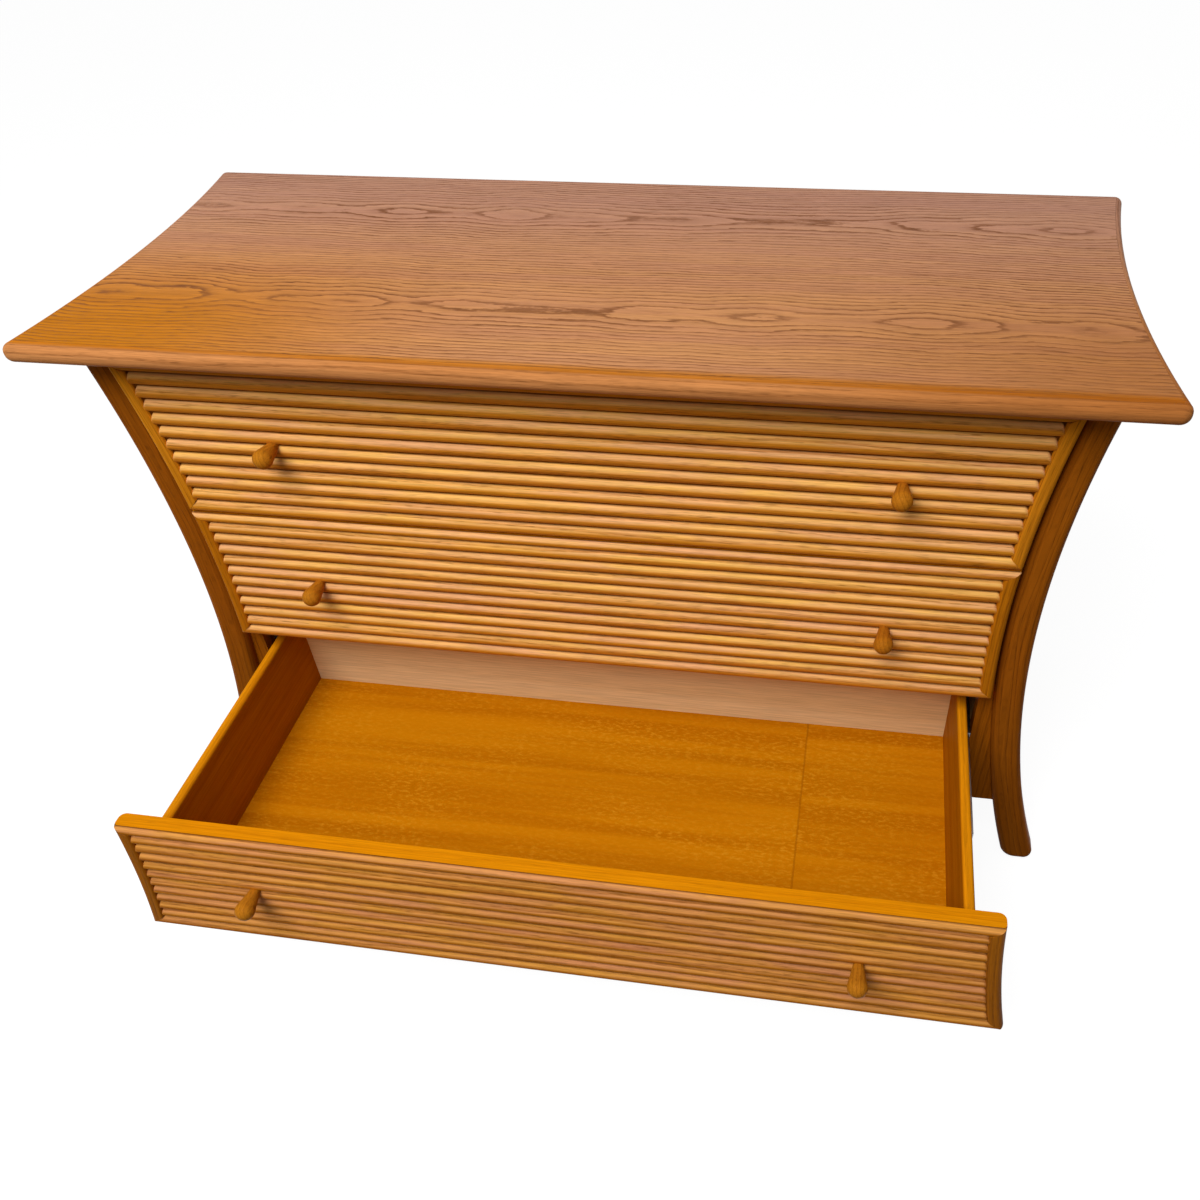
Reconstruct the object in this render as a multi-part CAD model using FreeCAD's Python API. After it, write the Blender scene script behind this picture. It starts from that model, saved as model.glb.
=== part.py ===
import FreeCAD, Part
import math
import os

# A chest of three reeded drawers between bowed legs, in millimetres.
# X runs to the right, Y to the back and Z up from the floor.
# The model is laid out from the front edge of the top at Y zero, and every piece is moved at the
# end, so that the origin lies on the floor under the middle of the whole chest.

Vector = FreeCAD.Vector
UP = Vector(0, 0, 1)
RIGHT = Vector(1, 0, 0)
BACK = Vector(0, 1, 0)

# Top: a panel with a rounded strip along its front and along each curved side
top_width = 1224.0
top_depth = 526.0
top_thickness = 20.0
top_side_bow = 22.0
top_front_corner_radius = 12.0
top_rear_corner_radius = 10.0
top_edge_radius = 9.0
nosing_depth = 17.0
edging_width = 8.0

# Legs: an arc inside and an arc outside, closest together near the waist, where each of them lies
# furthest in from the end of the top
leg_outer_radius = 1320.0
leg_outer_waist_inset = 76.5
leg_outer_waist_height = 444.0
leg_inner_radius = 1400.0
leg_inner_waist_inset = 112.0
leg_inner_waist_height = 430.0
leg_depth = 38.0
leg_edge_radius = 11.0
foot_edge_radius = 12.0
leg_front_setback = 54.5
leg_rear_setback = 10.0

# Case between the legs
case_bottom_height = 110.0
stile_waist_width = 12.0
side_panel_thickness = 12.0
back_panel_thickness = 6.0
back_panel_side_gap = 1.0
rail_clearance = 12.0
cleat_thickness = 20.0
cleat_height = 50.0
joint_gap = 0.1

# Drawer fronts: a board that carries reeds inside a mitred border
drawer_names = ("upper_drawer", "middle_drawer", "lower_drawer")
front_bottom_height = 122.0
front_height = 202.0
front_gap = 2.0
front_top_gap = 15.0
front_leg_gap = 3.0
front_proud_of_leg = 10.0
front_board_thickness = 18.0
front_back_edge_radius = 8.0
front_close_gap = 1.5

# Reeds, whose border is wider below than above
inner_reed_count = 10
upper_border_width = 13.5
lower_border_width = 18.0
reed_gap = 1.2
reed_rise = 6.0
reed_end_gap = 0.8
end_strip_width = 18.0
end_strip_inner_radius_share = 0.5
mitre_gap = 0.3

# Knobs: a straight taper that swells into a ball, let in between two reeds
knob_inset = 255.0
knob_length = 37.0
knob_ball_radius = 11.5
knob_tip_radius = 2.0
knob_base_radius = 6.5
knob_fit = 0.2
reeds_above_knob = 5

# Drawer boxes
box_rise = 31.0
box_height = 142.0
box_side_gap = 13.0
box_rear_gap = 9.0
box_wall = 13.0
box_edge_radius = 3.0
bottom_thickness = 6.0
bottom_rise = 10.7
bottom_groove_depth = 5.0
bottom_fit = 0.2

# Slides as long as the drawer: a channel on the case, one on the drawer and one between them
slide_kept_length = 55.0
slide_height = 44.0
slide_sheet = 1.2
slide_fit = 0.3
slide_lip_step = 1.2
slide_rise = 62.0
slide_front_gap = 2.0
drawer_slide_front_gap = 0.5

# How far each drawer stands open, as a share of its travel
open_shares = (0.0, 0.0, 0.96)

# Flats that stand for a quarter round along a curved edge
top_flats = 3
leg_flats = 3
corner_flats = 3
small_flats = 2
knob_ball_flats = 4
knob_sides = 16

# Room beyond a cut, for every cutting tool
overrun = 5.0

# Heights that follow from the sizes above
drawer_count = len(drawer_names)
front_pitch = front_height + front_gap
top_underside = front_bottom_height + drawer_count * front_pitch - front_gap + front_top_gap
total_height = top_underside + top_thickness
reed_pitch = (front_height - upper_border_width - lower_border_width) / inner_reed_count
knob_drop = upper_border_width + reeds_above_knob * reed_pitch

# Places from front to back
leg_front_y = leg_front_setback
leg_back_y = leg_front_y + leg_depth
rear_leg_back_y = top_depth - leg_rear_setback
rear_leg_front_y = rear_leg_back_y - leg_depth
crest_y = leg_front_y - front_proud_of_leg
board_front_y = crest_y + reed_rise
board_back_y = board_front_y + front_board_thickness
stile_front_y = board_back_y + front_close_gap
stile_thickness = leg_back_y - stile_front_y
box_back_y = rear_leg_front_y - box_rear_gap

# Places from the middle to the side
leg_outer_waist_x = top_width / 2 - leg_outer_waist_inset
leg_inner_waist_x = top_width / 2 - leg_inner_waist_inset
opening_x = leg_inner_waist_x - stile_waist_width
box_x = opening_x - box_side_gap
box_inner_x = box_x - box_wall
knob_x = top_width / 2 - knob_inset

# Bows: how far out the axis of an arc lies, its radius, and where along the piece it is waisted
outer_bow = (leg_outer_waist_x + leg_outer_radius, leg_outer_radius, leg_outer_waist_height)
inner_bow = (leg_inner_waist_x + leg_inner_radius, leg_inner_radius, leg_inner_waist_height)
panel_bow = tuple((outer + inner) / 2 for outer, inner in zip(outer_bow, inner_bow))
top_bow_radius = ((top_depth / 2) ** 2 + top_side_bow ** 2) / (2 * top_side_bow)
top_bow = (top_width / 2 - top_side_bow + top_bow_radius, top_bow_radius, top_depth / 2)

# The slides stop while their ends are still held
slide_length = box_back_y - board_back_y - drawer_slide_front_gap
travel = slide_length - slide_kept_length

# The origin lies under the middle of the chest as it stands
front_most_y = min(0.0, crest_y - max(open_shares) * travel - knob_length)
origin_y = (front_most_y + top_depth) / 2


def box(x_low, x_high, y_low, y_high, z_low, z_high):
    """A block between two corners."""
    corner = Vector(x_low, y_low, z_low)
    return Part.makeBox(x_high - x_low, y_high - y_low, z_high - z_low, corner)


def mirrored(shape):
    """The same piece on the other side of the chest."""
    return shape.mirror(Vector(0, 0, 0), RIGHT)


def pair(right_piece):
    """The left and the right piece as one group of separate solids."""
    return Part.makeCompound([mirrored(right_piece), right_piece])


def in_front_view(y):
    """Places a drawn point in an upright plane across the chest."""
    return lambda across, up: Vector(across, y, up)


def in_plan(z):
    """Places a drawn point in a level plane."""
    return lambda across, back: Vector(across, back, z)


def in_side_view(x):
    """Places a drawn point in an upright plane from front to back."""
    return lambda back, up: Vector(x, back, up)


def outline(chains, place):
    """A closed wire of chains of arcs, joined by straight lines. Every second point is passed
    through by an arc, and a chain of one point is a corner."""
    placed = [[place(*point) for point in chain] for chain in chains]
    edges = []
    for number, chain in enumerate(placed):
        for start in range(0, len(chain) - 1, 2):
            edges.append(Part.Arc(*chain[start:start + 3]).toShape())
        following = placed[(number + 1) % len(placed)]
        edges.append(Part.makeLine(chain[-1], following[0]))
    return Part.Wire(edges)


def flipped(chains):
    """Chains on the other side of the middle, run through the other way."""
    return [[(-across, along) for across, along in reversed(chain)] for chain in reversed(chains)]


def corners(points):
    """Points that are joined by straight lines, each as a chain of its own."""
    return [[point] for point in points]


def bow_x(bow, offset, along):
    """How far out a bow lies at a place along it, offset towards the middle of the chest."""
    axis_x, radius, waist = bow
    return axis_x - math.sqrt((radius + offset) ** 2 - (along - waist) ** 2)


def bow_chain(bow, offset, low, high):
    """The stretch of a bow between two places along it."""
    return [(bow_x(bow, offset, along), along) for along in (low, (low + high) / 2, high)]


def bow_corner(bow, side, radius, inset, base, way):
    """The flats between a straight edge and a bow, from the straight edge on. Side is 1 where the
    piece lies on the middle's side of the bow, and way is 1 where it lies beyond the base."""
    axis_x, _, waist = bow
    centre_along = base + way * radius
    centre_x = bow_x(bow, side * radius, centre_along)
    to_axis = math.atan2(waist - centre_along, axis_x - centre_x)
    outward = to_axis if side > 0 else to_axis + math.pi
    straight = -way * math.pi / 2
    turn = math.remainder(outward - straight, 2 * math.pi)
    reach = radius - inset
    angles = [straight + turn * step / corner_flats for step in range(corner_flats + 1)]
    return [(centre_x + reach * math.cos(angle), centre_along + reach * math.sin(angle))
            for angle in angles]


def quarter_round(radius, flats):
    """The inset and the depth of each step from a face to the side, round an edge."""
    angles = [step * math.pi / 2 / flats for step in range(flats + 1)]
    return [(radius * (1 - math.sin(angle)), radius * (1 - math.cos(angle))) for angle in angles]


def drawer_bottom_z(number):
    """Height of the lower edge of a drawer's front, counted from the top drawer."""
    return front_bottom_height + (drawer_count - 1 - number) * front_pitch


def top_outline(inset, z):
    """The plan of the top at one height: curved in at both sides, with round corners."""
    front = bow_corner(top_bow, 1, top_front_corner_radius, inset, 0.0, 1)
    rear = bow_corner(top_bow, 1, top_rear_corner_radius, inset, top_depth, -1)
    side = bow_chain(top_bow, inset, front[-1][1], rear[-1][1])
    right = corners(front[:-1]) + [side] + corners(reversed(rear[:-1]))
    return outline(right + flipped(right), in_plan(z))


def whole_top():
    """The top in one piece, with a rounded edge all the way round."""
    steps = quarter_round(top_edge_radius, top_flats)
    below = [top_outline(inset, top_underside + depth) for inset, depth in steps]
    above = [top_outline(inset, total_height - depth) for inset, depth in reversed(steps)]
    return Part.makeLoft(below + above, True, True)


def top_pieces():
    """The panel, the front nosing and the two side edgings, parted along their seams."""
    top = whole_top()
    low = top_underside - overrun
    high = total_height + overrun
    behind_zone = box(-top_width, top_width, nosing_depth, top_depth + overrun, low, high)
    seam = bow_chain(top_bow, edging_width, -overrun, top_depth + overrun)
    beyond = corners([(top_width, top_depth + overrun), (top_width, -overrun)])
    beyond_seam = Part.Face(outline([seam] + beyond, in_plan(low))).extrude(UP * (high - low))
    behind = top.common(behind_zone)
    right_edging = behind.common(beyond_seam).Solids[0]
    return {
        "top_panel": behind.cut(beyond_seam).cut(mirrored(beyond_seam)).Solids[0],
        "top_front_nosing": top.cut(behind_zone).Solids[0],
        "top_left_edging": mirrored(right_edging),
        "top_right_edging": right_edging}


def side_panel():
    """The right side between the legs, bent to their bow."""
    half = side_panel_thickness / 2
    y_low = leg_back_y + joint_gap
    y_high = rear_leg_front_y - joint_gap
    outside = bow_chain(panel_bow, -half, case_bottom_height, top_underside)
    inside = bow_chain(panel_bow, half, case_bottom_height, top_underside)
    face = Part.Face(outline([outside, inside[::-1]], in_front_view(y_low)))
    return face.extrude(BACK * (y_high - y_low))


def leg_outline(inset, y):
    """The front view of a right leg, drawn in at its sides and its sole."""
    outer_foot = bow_corner(outer_bow, 1, foot_edge_radius, inset, 0.0, 1)
    inner_foot = bow_corner(inner_bow, -1, foot_edge_radius, inset, 0.0, 1)
    outside = bow_chain(outer_bow, inset, outer_foot[-1][1], top_underside)
    inside = bow_chain(inner_bow, -inset, inner_foot[-1][1], top_underside)
    chains = corners(outer_foot[:-1]) + [outside, inside[::-1]] + corners(reversed(inner_foot[:-1]))
    return outline(chains, in_front_view(y))


def leg(y_front):
    """A right leg, rounded along all its edges and under its foot."""
    steps = quarter_round(leg_edge_radius, leg_flats)
    y_back = y_front + leg_depth
    front = [leg_outline(inset, y_front + depth) for inset, depth in steps]
    back = [leg_outline(inset, y_back - depth) for inset, depth in reversed(steps)]
    return Part.makeLoft(front + back, True, True)


def stile(y_front):
    """The upright between a leg and the opening: straight inside, bowed outside."""
    outside = bow_chain(inner_bow, joint_gap, case_bottom_height, top_underside)
    inside = corners([(opening_x, top_underside), (opening_x, case_bottom_height)])
    face = Part.Face(outline([outside] + inside, in_front_view(y_front)))
    return face.extrude(BACK * stile_thickness)


def rail(y_front, z_low, z_high):
    """A level rail between two stiles."""
    return box(-opening_x, opening_x, y_front, y_front + stile_thickness, z_low, z_high)


def case_rails():
    """The rails above, between and below the drawers, and the two at the back."""
    box_bottoms = [drawer_bottom_z(number) + box_rise for number in range(drawer_count)]
    box_tops = [bottom + box_height for bottom in box_bottoms]
    top_low = box_tops[0] + rail_clearance
    bottom_high = box_bottoms[-1] - rail_clearance
    pieces = {
        "top_front_rail": rail(stile_front_y, top_low, top_underside),
        "bottom_front_rail": rail(stile_front_y, case_bottom_height, bottom_high),
        "top_rear_rail": rail(rear_leg_front_y, top_low, top_underside),
        "bottom_rear_rail": rail(rear_leg_front_y, case_bottom_height, bottom_high)}
    for number, name in enumerate(("upper_divider_rail", "lower_divider_rail")):
        low = box_tops[number + 1] + rail_clearance
        high = box_bottoms[number] - rail_clearance
        pieces[name] = rail(stile_front_y, low, high)
    return pieces


def back_panel():
    """The thin back, fixed to the rear stiles between the rear legs."""
    half = leg_inner_waist_x - back_panel_side_gap
    y_low = rear_leg_front_y + stile_thickness
    return box(-half, half, y_low, y_low + back_panel_thickness, case_bottom_height, top_underside)


def slide_z(z_low):
    """Height of the middle of a drawer's slides."""
    return z_low + box_rise + slide_rise


def slide_cleats(z_low):
    """The level battens that carry a drawer's slides between the stiles."""
    middle = slide_z(z_low)
    return pair(box(opening_x, opening_x + cleat_thickness, leg_back_y, rear_leg_front_y,
                    middle - cleat_height / 2, middle + cleat_height / 2))


def channels(back_x, lip_x, height, y_front, z_middle):
    """A left and a right channel whose webs stand at one X and whose lips reach to another."""
    web_x = back_x + math.copysign(slide_sheet, lip_x - back_x)
    half = height / 2
    low_lip = [(lip_x, z_middle - half), (lip_x, z_middle - half + slide_sheet)]
    high_lip = [(lip_x, z_middle + half - slide_sheet), (lip_x, z_middle + half)]
    inside = [(web_x, z_middle - half + slide_sheet), (web_x, z_middle + half - slide_sheet)]
    outside = [(back_x, z_middle + half), (back_x, z_middle - half)]
    section = corners(low_lip + inside + high_lip + outside)
    return pair(Part.Face(outline(section, in_front_view(y_front))).extrude(BACK * slide_length))


def case_slides(z_low):
    """The outer channels, fixed to the cleats."""
    lip_x = box_x + slide_sheet + 2 * slide_lip_step
    return channels(opening_x, lip_x, slide_height, stile_front_y + slide_front_gap, slide_z(z_low))


def slide_extensions(z_low):
    """The channels between, which run out half as far as the drawer."""
    back_x = opening_x - slide_sheet - slide_fit
    lip_x = box_x + slide_sheet + slide_lip_step
    height = slide_height - 2 * (slide_sheet + slide_fit)
    return channels(back_x, lip_x, height, stile_front_y + slide_front_gap, slide_z(z_low))


def drawer_slides(z_low):
    """The inner channels, fixed to the drawer's sides."""
    lip_x = opening_x - 2 * (slide_sheet + slide_fit)
    height = slide_height - 2 * 2 * (slide_sheet + slide_fit)
    return channels(box_x, lip_x, height, board_back_y + drawer_slide_front_gap, slide_z(z_low))


def front_outline(inset, y, z_low):
    """The outline of a drawer's front, bowed at both ends like the legs beside it."""
    right = [bow_chain(inner_bow, front_leg_gap + inset, z_low, z_low + front_height)]
    return outline(right + flipped(right), in_front_view(y))


def front_board(z_low):
    """The board behind the reeds, rounded at its rear ends and grooved for the bottom."""
    steps = quarter_round(front_back_edge_radius, leg_flats)
    wires = [front_outline(0.0, board_front_y, z_low)]
    wires += [front_outline(inset, board_back_y - depth, z_low) for inset, depth in reversed(steps)]
    return Part.makeLoft(wires, True, True).cut(drawer_bottom(z_low, bottom_fit)).Solids[0]


def reed_bar(half_length, z_low, z_high):
    """A bar that is flat at the board and round in front."""
    middle = (z_low + z_high) / 2
    chain = [(board_front_y, z_low + reed_gap / 2), (crest_y, middle),
             (board_front_y, z_high - reed_gap / 2)]
    end = Part.Face(outline([chain], in_side_view(-half_length)))
    return end.extrude(RIGHT * (2 * half_length))


def inner_reed(z_low, z_high):
    """A reed between the end strips, as long as fits."""
    inset = front_leg_gap + end_strip_width + reed_end_gap
    return reed_bar(min(bow_x(inner_bow, inset, z) for z in (z_low, z_high)), z_low, z_high)


def border_reed(z_outer, z_inner):
    """The reed along the upper or the lower edge, cut at its ends along the mitres."""
    low, high = sorted((z_outer, z_inner))
    right = corners([(bow_x(inner_bow, front_leg_gap, z_outer), z_outer),
                     (bow_x(inner_bow, front_leg_gap + end_strip_width, z_inner), z_inner)])
    room = outline(right + flipped(right), in_front_view(crest_y - overrun))
    prism = Part.Face(room).extrude(BACK * (reed_rise + 2 * overrun))
    return reed_bar(top_width / 2, low, high).common(prism).Solids[0]


def reeds(z_low):
    """All reeds of one front, with round holes where its knobs pass between two of them."""
    z_high = z_low + front_height
    z_first = z_low + lower_border_width
    pieces = [border_reed(z_low, z_first), border_reed(z_high, z_high - upper_border_width)]
    hole = Part.makeCylinder(knob_base_radius + knob_fit, reed_rise + 2 * overrun,
                             Vector(knob_x, crest_y - overrun, z_high - knob_drop), BACK)
    for number in range(inner_reed_count):
        low = z_first + number * reed_pitch
        pieces.extend(inner_reed(low, low + reed_pitch).cut(pair(hole)).Solids)
    return Part.makeCompound(pieces)


def strip_outline(outer_inset, inner_inset, y, z_low):
    """The front view of the right end strip, drawn in at its two edges and cut to the mitres."""
    z_high = z_low + front_height
    chains = []
    for inset in (outer_inset, end_strip_width - inner_inset):
        share = inset / end_strip_width
        low = z_low + share * lower_border_width + mitre_gap
        high = z_high - share * upper_border_width - mitre_gap
        chains.append(bow_chain(inner_bow, front_leg_gap + inset, low, high))
    return outline([chains[0], chains[1][::-1]], in_front_view(y))


def end_strips(z_low):
    """The upright border strips at both ends, bowed like the legs and rounded in front."""
    wires = [strip_outline(inset, inset * end_strip_inner_radius_share, crest_y + depth, z_low)
             for inset, depth in quarter_round(reed_rise, leg_flats)]
    return pair(Part.makeLoft(wires, True, True))


def knob_ring(radius, y):
    """A level ring of flats around a knob."""
    angles = [2 * math.pi * side / knob_sides for side in range(knob_sides)]
    points = [(radius * math.cos(angle), radius * math.sin(angle)) for angle in angles]
    return outline(corners(points), in_front_view(y))


def knobs(z_low):
    """Two turned knobs that stand on the board between two reeds."""
    ball_y = crest_y - knob_length + knob_ball_radius
    span = math.hypot(crest_y - ball_y, knob_base_radius)
    slope = math.atan2(knob_base_radius, crest_y - ball_y) + math.acos(knob_ball_radius / span)
    touch_radius = knob_ball_radius * math.sin(slope)
    touch_y = ball_y + knob_ball_radius * math.cos(slope)
    taper = (touch_radius - knob_base_radius) / (crest_y - touch_y)
    rings = [knob_ring(knob_base_radius - taper * reed_rise, board_front_y)]
    for step in range(knob_ball_flats):
        angle = slope + (math.pi - slope) * step / knob_ball_flats
        rings.append(knob_ring(knob_ball_radius * math.sin(angle),
                               ball_y + knob_ball_radius * math.cos(angle)))
    rings.append(knob_ring(knob_tip_radius, ball_y - knob_ball_radius))
    knob = Part.makeLoft(rings, True, True)
    knob.translate(Vector(knob_x, 0, z_low + front_height - knob_drop))
    return pair(knob)


def drawer_bottom(z_low, fit):
    """The panel under the drawer's load, let into all four walls, with room if asked."""
    low = z_low + box_rise + bottom_rise
    half = box_inner_x + bottom_groove_depth - bottom_fit + fit
    y_low = board_back_y - bottom_groove_depth + bottom_fit - fit
    y_high = box_back_y - box_wall + bottom_groove_depth - bottom_fit + fit
    return box(-half, half, y_low, y_high, low - fit, low + bottom_thickness + fit)


def wall_section(near, far, low, high):
    """The section of a drawer's wall, with its two upper edges rounded."""
    steps = quarter_round(box_edge_radius, small_flats)
    far_round = [(far - inset, high - depth) for inset, depth in reversed(steps)]
    near_round = [(near + inset, high - depth) for inset, depth in steps]
    return corners([(near, low), (far, low)] + far_round + near_round)


def drawer_side(z_low):
    """The right wall of the drawer, with rounded upper edges."""
    low = z_low + box_rise
    section = wall_section(box_inner_x, box_x, low, low + box_height)
    face = Part.Face(outline(section, in_front_view(board_back_y)))
    wall = face.extrude(BACK * (box_back_y - board_back_y))
    return wall.cut(drawer_bottom(z_low, bottom_fit)).Solids[0]


def drawer_back(z_low):
    """The rear wall between the sides, with rounded upper edges."""
    low = z_low + box_rise
    section = wall_section(box_back_y - box_wall, box_back_y, low, low + box_height)
    face = Part.Face(outline(section, in_side_view(-box_inner_x)))
    wall = face.extrude(RIGHT * (2 * box_inner_x))
    return wall.cut(drawer_bottom(z_low, bottom_fit)).Solids[0]


def save(name, shape, opening=0.0):
    """Moves a piece to its place, pulled forward by the opening, and writes it."""
    placed = shape.copy()
    placed.translate(Vector(0, -origin_y - opening, 0))
    placed.exportStep("parts/" + name + ".step")


def save_case():
    """Writes the top, the legs and the case between them."""
    pieces = top_pieces()
    for place, y_front in (("front", leg_front_y), ("rear", rear_leg_front_y)):
        right_leg = leg(y_front)
        pieces[place + "_right_leg"] = right_leg
        pieces[place + "_left_leg"] = mirrored(right_leg)
    for place, y_front in (("front", stile_front_y), ("rear", rear_leg_front_y)):
        right_stile = stile(y_front)
        pieces[place + "_right_stile"] = right_stile
        pieces[place + "_left_stile"] = mirrored(right_stile)
    right_panel = side_panel()
    pieces["right_side_panel"] = right_panel
    pieces["left_side_panel"] = mirrored(right_panel)
    pieces["back_panel"] = back_panel()
    pieces.update(case_rails())
    for name, shape in pieces.items():
        save(name, shape)


def save_drawer(number):
    """Writes one drawer with its slides, pulled out as far as it stands open."""
    name = drawer_names[number]
    opening = open_shares[number] * travel
    z_low = drawer_bottom_z(number)
    right_side = drawer_side(z_low)
    save(name + "_cleats", slide_cleats(z_low))
    save(name + "_case_slides", case_slides(z_low))
    save(name + "_slide_extensions", slide_extensions(z_low), opening / 2)
    save(name + "_drawer_slides", drawer_slides(z_low), opening)
    save(name + "_front_board", front_board(z_low), opening)
    save(name + "_reeds", reeds(z_low), opening)
    save(name + "_end_strips", end_strips(z_low), opening)
    save(name + "_knobs", knobs(z_low), opening)
    save(name + "_left_side", mirrored(right_side), opening)
    save(name + "_right_side", right_side, opening)
    save(name + "_back", drawer_back(z_low), opening)
    save(name + "_bottom", drawer_bottom(z_low, 0.0), opening)


os.makedirs("parts", exist_ok=True)
save_case()
for drawer_number in range(drawer_count):
    save_drawer(drawer_number)
print("total height", total_height, "travel", travel, "origin from the front edge", origin_y)
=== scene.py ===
import math
import random

import bmesh
import bpy
from mathutils import Euler, Matrix, Vector


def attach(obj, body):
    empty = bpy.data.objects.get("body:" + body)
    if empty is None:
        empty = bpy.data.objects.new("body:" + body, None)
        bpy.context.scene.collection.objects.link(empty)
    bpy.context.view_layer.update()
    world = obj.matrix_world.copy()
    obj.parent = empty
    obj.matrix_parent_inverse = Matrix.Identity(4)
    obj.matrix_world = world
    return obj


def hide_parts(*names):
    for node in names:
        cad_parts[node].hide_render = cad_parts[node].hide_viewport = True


# The looks of a chest of three reeded drawers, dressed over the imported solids.
# Pieces are drawn in millimetres from the front edge of the top, as the solids were, and moved to
# the frame's place in metres when they are made.

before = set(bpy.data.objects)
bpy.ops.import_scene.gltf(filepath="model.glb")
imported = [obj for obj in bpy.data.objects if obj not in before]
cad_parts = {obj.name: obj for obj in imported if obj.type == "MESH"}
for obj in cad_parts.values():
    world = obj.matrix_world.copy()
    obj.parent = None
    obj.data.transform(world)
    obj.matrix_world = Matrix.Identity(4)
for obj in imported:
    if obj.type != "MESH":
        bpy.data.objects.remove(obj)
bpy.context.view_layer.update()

MM = 0.001

# Where the drawing's origin lies in the frame, and how far the lower drawer stands open
origin_y = 101.15
opening = 331.2

# Top
top_width = 1224.0
top_depth = 526.0
top_underside = 747.0
top_height = 767.0
top_side_bow = 22.0
top_front_corner = 12.0
top_rear_corner = 10.0
top_edge_radius = 9.0
nosing_depth = 17.0
edging_width = 8.0
seam_gap = 0.25

# How far the forms that cut the top reach past it, and the one of the nosing past its sides
cut_overrun = 5.0
cut_side_overrun = 50.0

# Legs and sides: the axis, the radius and the waist's height of each bow
outer_bow = (1855.5, 1320.0, 444.0)
inner_bow = (1900.0, 1400.0, 430.0)
panel_bow = (1877.75, 1360.0, 437.0)
top_bow_radius = ((top_depth / 2) ** 2 + top_side_bow ** 2) / (2 * top_side_bow)
top_bow = (top_width / 2 - top_side_bow + top_bow_radius, top_bow_radius, top_depth / 2)
leg_front_y = 54.5
leg_rear_y = 478.0
leg_depth = 38.0
leg_edge_radius = 11.0
outer_foot_radius = 12.0
inner_foot_radius = 22.0
case_bottom = 110.0
side_panel_thickness = 12.0
joint_gap = 0.1

# Drawer fronts
drawer_names = ("upper_drawer", "middle_drawer", "lower_drawer")
front_bottoms = (530.0, 326.0, 122.0)
front_height = 202.0
front_leg_gap = 3.0
crest_y = 44.5
board_front_y = 50.5
board_back_y = 68.5
board_end_radius = 8.0
board_front_radius = 4.5
board_corner_radius = 9.0
border_corner_radius = 4.5
board_edge_bevel = 0.8

# Reeds and the strips at their ends
reed_count = 10
upper_border = 13.5
lower_border = 18.0
reed_gap = 1.2
reed_end_overlap = 3.0
reed_nose = 6.0
nose_height_share = 0.4
nose_depth_share = 0.7
strip_width = 18.0
strip_outer_round = 7.5
strip_inner_round = 4.0
mitre_gap = 0.3

# Knobs, with the angle at the tip that their flat end takes up
knob_x = 357.0
knob_drop = 98.75
knob_length = 37.0
knob_ball_radius = 11.5
knob_base_radius = 6.5
knob_tip_angle = 0.03

# Drawer boxes
box_rise = 31.0
box_height = 142.0
box_x = 475.0
box_inner_x = 462.0
box_back_y = 469.0
box_wall = 13.0
box_edge_radius = 5.0

# How finely curves are drawn. The rows of an end strip crowd towards its foot by a power.
edge_steps = 8
box_edge_steps = 5
corner_steps = 10
bow_steps = 48
reed_steps = 16
nose_steps = 6
knob_sides = 48
knob_steps = 18
strip_row_power = 1.5

# Edges sharper than these angles, in degrees, stay sharp or are bevelled
sharp_angle = 40.0
bevel_angle = 50.0
bevel_segments = 2

# How strongly large faces decide the shading at their edges, so that they look flat
flat_face_weight = 100

# How closely a face has to look one way to get the material of that way
facing_share = 0.9

# How far apart the pieces lie in the endless board that their grain is taken from
grain_spread = 4000.0

# How strongly the thin, dull lacquer mirrors its surroundings, as an index of refraction
lacquer_index = 1.05

# Noise in the materials, in counts per metre along, across and into the board
streak_scales = (1.6, 38.0, 38.0)
patch_scales = (2.5, 9.0, 9.0)
fibre_scales = (14.0, 650.0, 650.0)
pore_scales = (55.0, 1300.0, 1300.0)
crest_scales = (9.0, 70.0, 70.0)
long_wave_scales = (2.2, 14.0, 14.0)
short_wave_scales = (16.0, 60.0, 60.0)
sway_scales = (1.6, 0.0, 0.0)
heart_depth_scales = (1.5, 1.0, 0.0)
band_scales = (1.2, 34.0, 0.0)
fleck_scales = (110.0, 260.0, 0.0)
drift_scales = (5.0, 12.0, 0.0)
zinc_line_scales = (6.0, 900.0, 900.0)
zinc_cloud_scales = (30.0, 30.0, 30.0)

# The stretch of a noise's values that is spread over a whole range
broad = (0.3, 0.7)
narrow = (0.35, 0.65)

# Fine relief: how strong it is, and how deep in metres
wood_relief = 0.35
wood_relief_depth = 0.0004
veneer_relief = 0.25
veneer_relief_depth = 0.0003
zinc_relief = 0.2
zinc_relief_depth = 0.0001

# Colours of the painted warm light, shade and reflection on the top, of the walls' upper edges
# and of zinc, as 0 to 255
amber_tint = (244, 214, 60)
brown_tint = (226, 212, 186)
pale_tone = (186, 144, 136)
upper_edge_tone = (226, 142, 12)
zinc_tones = ((176, 178, 182), (150, 152, 158))

# The figure of the top, in metres: the hearts of its two leaves, where they meet, how far apart
# their noise lies, how far a heart sways, how deep it lies, and the waves that make rings ragged
leaf_hearts = (0.042, 0.299)
leaf_seam = 0.166
leaf_shift = 3.0
heart_sway = 0.05
heart_depth_least = 0.01
heart_depth_swing = 0.1
ragged_waves = (((4.0, 34.0, 0.0), 0.009),
                ((24.0, 320.0, 0.0), 0.003),
                ((75.0, 120.0, 0.0), 0.002))

# How round the ends of the islands in that figure are: 2 is an oval, 1 a rhomb
island_power = 1.7
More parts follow.
